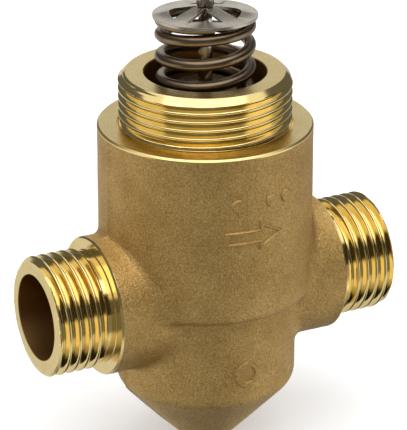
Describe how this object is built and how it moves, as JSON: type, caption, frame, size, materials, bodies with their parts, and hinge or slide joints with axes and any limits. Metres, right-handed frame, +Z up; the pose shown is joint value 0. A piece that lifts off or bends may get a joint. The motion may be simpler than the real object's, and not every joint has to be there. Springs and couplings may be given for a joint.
{
  "type": "two-port globe valve",
  "caption": "Brass globe valve with two threaded pipe ports, a threaded actuator collar and a spring-returned stem; the third port of the casting is closed by a cone.",
  "frame": {"origin": "on the stem axis at the lowest point of the closed bottom cone; the port axis is 28.6 mm above it", "axes": "+Z up along the stem, +X along the port axis towards the outlet, +Y completes a right-handed frame"},
  "size_m": [0.065, 0.0378, 0.0825],
  "materials": {
    "cast_brass": "sand-textured matte casting",
    "machined_brass": "turned, bright",
    "stainless": "satin",
    "spring_steel": "oil-tempered, semi-gloss",
    "black_rubber": "matte",
    "white_resin": "matte"
  },
  "bodies": {
    "housing": {"valve_body": "cast_brass", "seat_ring": "stainless", "bonnet_insert": "machined_brass", "bonnet_o_ring": "black_rubber", "lower_guide_bush": "white_resin", "lower_stem_o_ring": "black_rubber", "gland_spacer": "white_resin", "upper_stem_o_ring": "black_rubber", "upper_guide_ring": "white_resin", "gland_nut": "machined_brass", "stem_wiper": "black_rubber", "spring_washer": "stainless", "return_spring": "spring_steel"},
    "stem_assembly": {"stem": "stainless", "spring_retainer": "stainless", "stem_circlip": "stainless", "valve_plug": "machined_brass", "plug_seal": "black_rubber", "throttle_cone": "machined_brass", "plug_washer": "stainless", "plug_nut": "stainless"}
  },
  "joints": [
    {"name": "stem_slide", "type": "slide", "parent": "housing", "child": "stem_assembly", "axis": [0, 0, -1], "range_m": [0, 0.004], "stiffness_N_per_m": 7640, "springref_m": -0.0035, "deforming": ["return_spring"]}
  ]
}
